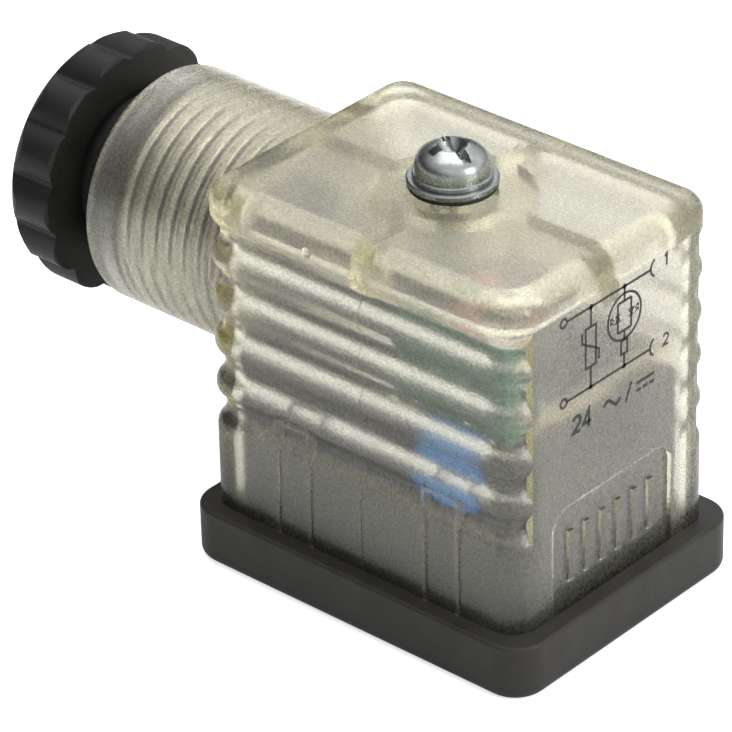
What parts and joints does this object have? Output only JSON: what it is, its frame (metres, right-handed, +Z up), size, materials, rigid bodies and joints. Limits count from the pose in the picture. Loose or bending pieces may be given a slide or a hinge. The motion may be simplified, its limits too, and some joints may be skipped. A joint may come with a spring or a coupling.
{
  "type": "solenoid valve connector plug",
  "caption": "Clear right-angle cable socket for a solenoid valve coil, with flat contacts, an indicator and surge circuit, threaded cable gland and captive fixing screw.",
  "frame": {"origin": "where the fixing screw's axis meets the underside of the base gasket", "axes": "+Z up, away from the valve coil, along the fixing screw; -X the way the cable leaves; +X the way the printed face looks"},
  "size_m": [0.0557, 0.0266, 0.0367],
  "materials": {
    "clear_housing": "frosted clear polycarbonate",
    "gasket_rubber": "satin",
    "seal_rubber": "matte",
    "black_nylon": "fine moulded texture",
    "zinc_steel": "bright zinc plate",
    "tinned_brass": "tin plate",
    "board_green": "solder mask",
    "varistor_blue": "epoxy coat",
    "led_red": "tinted clear epoxy",
    "resistor_beige": "lacquer",
    "lead_wire": "tinned wire"
  },
  "bodies": {
    "plug_body": {"housing": "clear_housing", "base_gasket": "gasket_rubber", "contact_carrier": "black_nylon", "contact_1": "tinned_brass", "contact_2": "tinned_brass", "contact_earth": "tinned_brass", "circuit_board": "board_green", "varistor": "varistor_blue", "indicator_led": "led_red", "series_resistor": "resistor_beige", "component_leads": "lead_wire", "board_link_1": "tinned_brass", "board_link_2": "tinned_brass", "cable_seal": "seal_rubber"},
    "gland_slider": {"pressure_ring": "black_nylon"},
    "gland_nut": {"gland_nut": "black_nylon"},
    "screw_lifter": {"screw_washer": "zinc_steel", "spring_washer": "zinc_steel", "screw_seal": "seal_rubber"},
    "fixing_screw": {"fixing_screw": "zinc_steel"},
    "clamp_1": {"terminal_clamp_1": "zinc_steel"},
    "clamp_screw_1": {"terminal_screw_1": "zinc_steel"},
    "clamp_2": {"terminal_clamp_2": "zinc_steel"},
    "clamp_screw_2": {"terminal_screw_2": "zinc_steel"},
    "clamp_earth": {"terminal_clamp_earth": "zinc_steel"},
    "clamp_screw_earth": {"terminal_screw_earth": "zinc_steel"}
  },
  "joints": [
    {"name": "gland_travel", "type": "slide", "parent": "plug_body", "child": "gland_slider", "axis": [1, 0, 0], "range_m": [-0.0036, 0.0029]},
    {"name": "gland_turn", "type": "hinge", "parent": "gland_slider", "child": "gland_nut", "pos_m": [0, 0, 0.02322], "axis": [1, 0, 0], "range_deg": [-866, 698]},
    {"name": "screw_lift", "type": "slide", "parent": "plug_body", "child": "screw_lifter", "axis": [0, 0, 1], "range_m": [0, 0.008]},
    {"name": "screw_turn", "type": "hinge", "parent": "screw_lifter", "child": "fixing_screw", "pos_m": [0, 0, 0], "axis": [0, 0, 1], "continuous": true},
    {"name": "clamp_travel_1", "type": "slide", "parent": "plug_body", "child": "clamp_1", "axis": [0, 0, 1], "range_m": [-0.0021, 0.0009]},
    {"name": "clamp_turn_1", "type": "hinge", "parent": "clamp_1", "child": "clamp_screw_1", "pos_m": [0, -0.0064, 0], "axis": [0, 0, 1], "range_deg": [-1514, 650]},
    {"name": "clamp_travel_2", "type": "slide", "parent": "plug_body", "child": "clamp_2", "axis": [0, 0, 1], "range_m": [-0.0021, 0.0009]},
    {"name": "clamp_turn_2", "type": "hinge", "parent": "clamp_2", "child": "clamp_screw_2", "pos_m": [0, 0.0064, 0], "axis": [0, 0, 1], "range_deg": [-1514, 650]},
    {"name": "clamp_travel_earth", "type": "slide", "parent": "plug_body", "child": "clamp_earth", "axis": [0, 0, 1], "range_m": [-0.0021, 0.0009]},
    {"name": "clamp_turn_earth", "type": "hinge", "parent": "clamp_earth", "child": "clamp_screw_earth", "pos_m": [0.0064, 0, 0], "axis": [0, 0, 1], "range_deg": [-1514, 650]}
  ],
  "couplings": [
    {"joint": "gland_turn", "follows": "gland_travel", "rad_per_m": 4188.8},
    {"joint": "clamp_turn_1", "follows": "clamp_travel_1", "rad_per_m": 12566},
    {"joint": "clamp_turn_2", "follows": "clamp_travel_2", "rad_per_m": 12566},
    {"joint": "clamp_turn_earth", "follows": "clamp_travel_earth", "rad_per_m": 12566}
  ]
}
